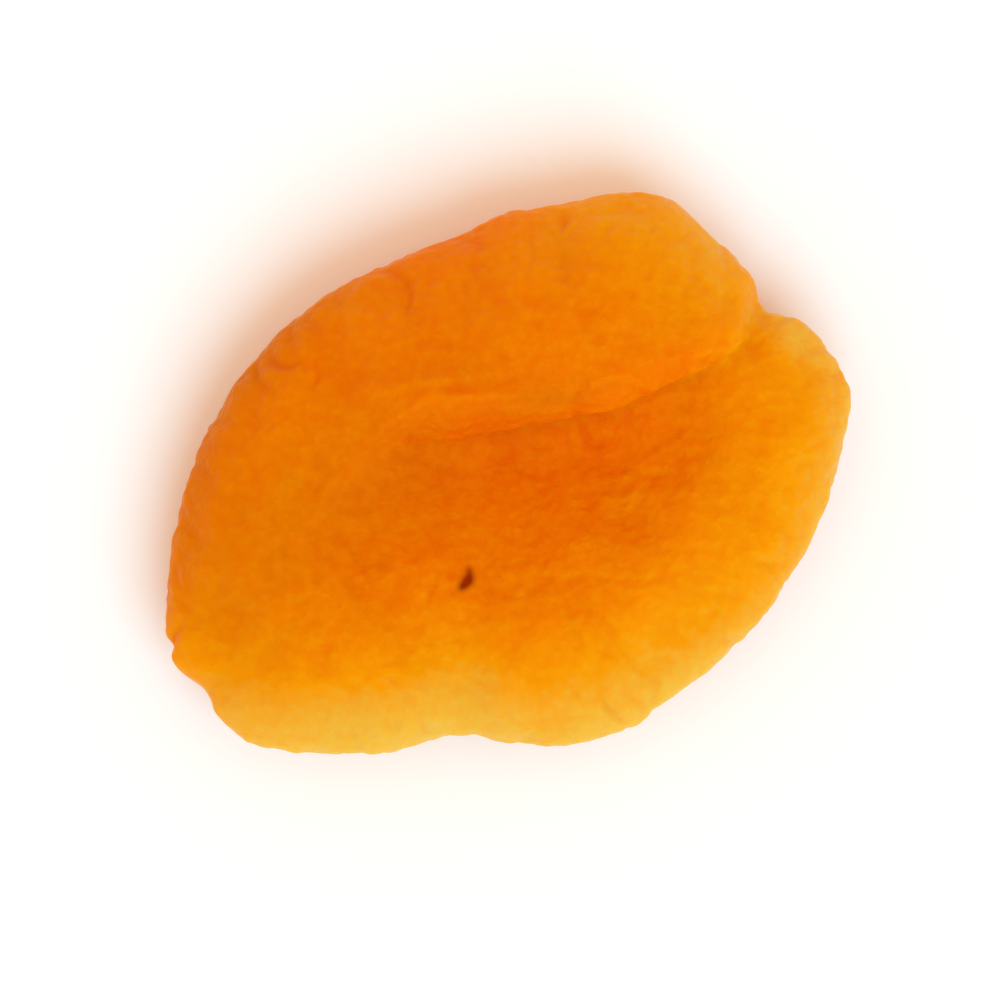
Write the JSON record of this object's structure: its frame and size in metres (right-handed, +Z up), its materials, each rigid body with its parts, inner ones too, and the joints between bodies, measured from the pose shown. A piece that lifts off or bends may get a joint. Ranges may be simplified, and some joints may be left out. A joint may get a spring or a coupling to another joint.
{
  "type": "dried apricot",
  "caption": "Whole dried, pitted apricot: a flattened oval fruit with plump edges, a hollow and an overhanging slit on top, resting on a small flat spot.",
  "frame": {"origin": "on the flat spot that the fruit rests on, below the middle of its length and width", "axes": "+X along the fruit's length to the stem end, where the slit opens; +Y across it, towards the upper pad; +Z up, from the flat spot to the side with the slit"},
  "size_m": [0.0414, 0.0298, 0.0103],
  "materials": {
    "apricot_flesh": "satin"
  },
  "bodies": {
    "root": {"dried_apricot": "apricot_flesh"}
  },
  "joints": []
}
